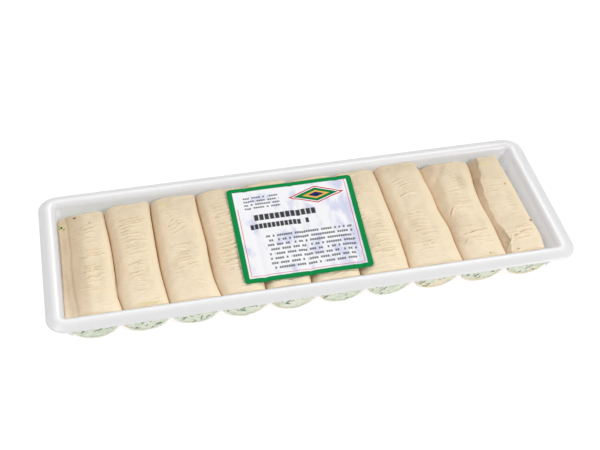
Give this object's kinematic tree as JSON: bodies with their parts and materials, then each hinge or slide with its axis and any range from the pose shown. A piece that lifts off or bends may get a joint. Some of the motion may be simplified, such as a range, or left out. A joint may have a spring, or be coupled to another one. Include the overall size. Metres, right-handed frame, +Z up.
{
  "type": "tray of filled cannelloni",
  "caption": "Filled pasta rolls with ricotta and spinach, side by side in a long white fluted tray with a plain printed label on top.",
  "frame": {"origin": "middle of the footprint, on the surface the tray stands on", "axes": "+X along the row of rolls and the tray's long side, +Y across the tray along each roll, away from the front edge, +Z up"},
  "size_m": [0.3094, 0.1104, 0.0282],
  "materials": {
    "tray_plastic": "smooth thin milky-white thermoformed plastic, thinner and see-through in the flutes",
    "pasta_dough": "cream fresh egg pasta, slightly moist and finely wrinkled",
    "ricotta_filling": "soft pale green-white ricotta with dark green spinach flecks",
    "label_paper": "coated white paper with a printed green border"
  },
  "bodies": {
    "root": {"tray": "tray_plastic", "pasta_1": "pasta_dough", "filling_1": "ricotta_filling", "pasta_2": "pasta_dough", "filling_2": "ricotta_filling", "pasta_3": "pasta_dough", "filling_3": "ricotta_filling", "pasta_4": "pasta_dough", "filling_4": "ricotta_filling", "pasta_5": "pasta_dough", "filling_5": "ricotta_filling", "pasta_6": "pasta_dough", "filling_6": "ricotta_filling", "pasta_7": "pasta_dough", "filling_7": "ricotta_filling", "pasta_8": "pasta_dough", "filling_8": "ricotta_filling", "pasta_9": "pasta_dough", "filling_9": "ricotta_filling", "pasta_10": "pasta_dough", "filling_10": "ricotta_filling", "label": "label_paper"}
  },
  "joints": []
}
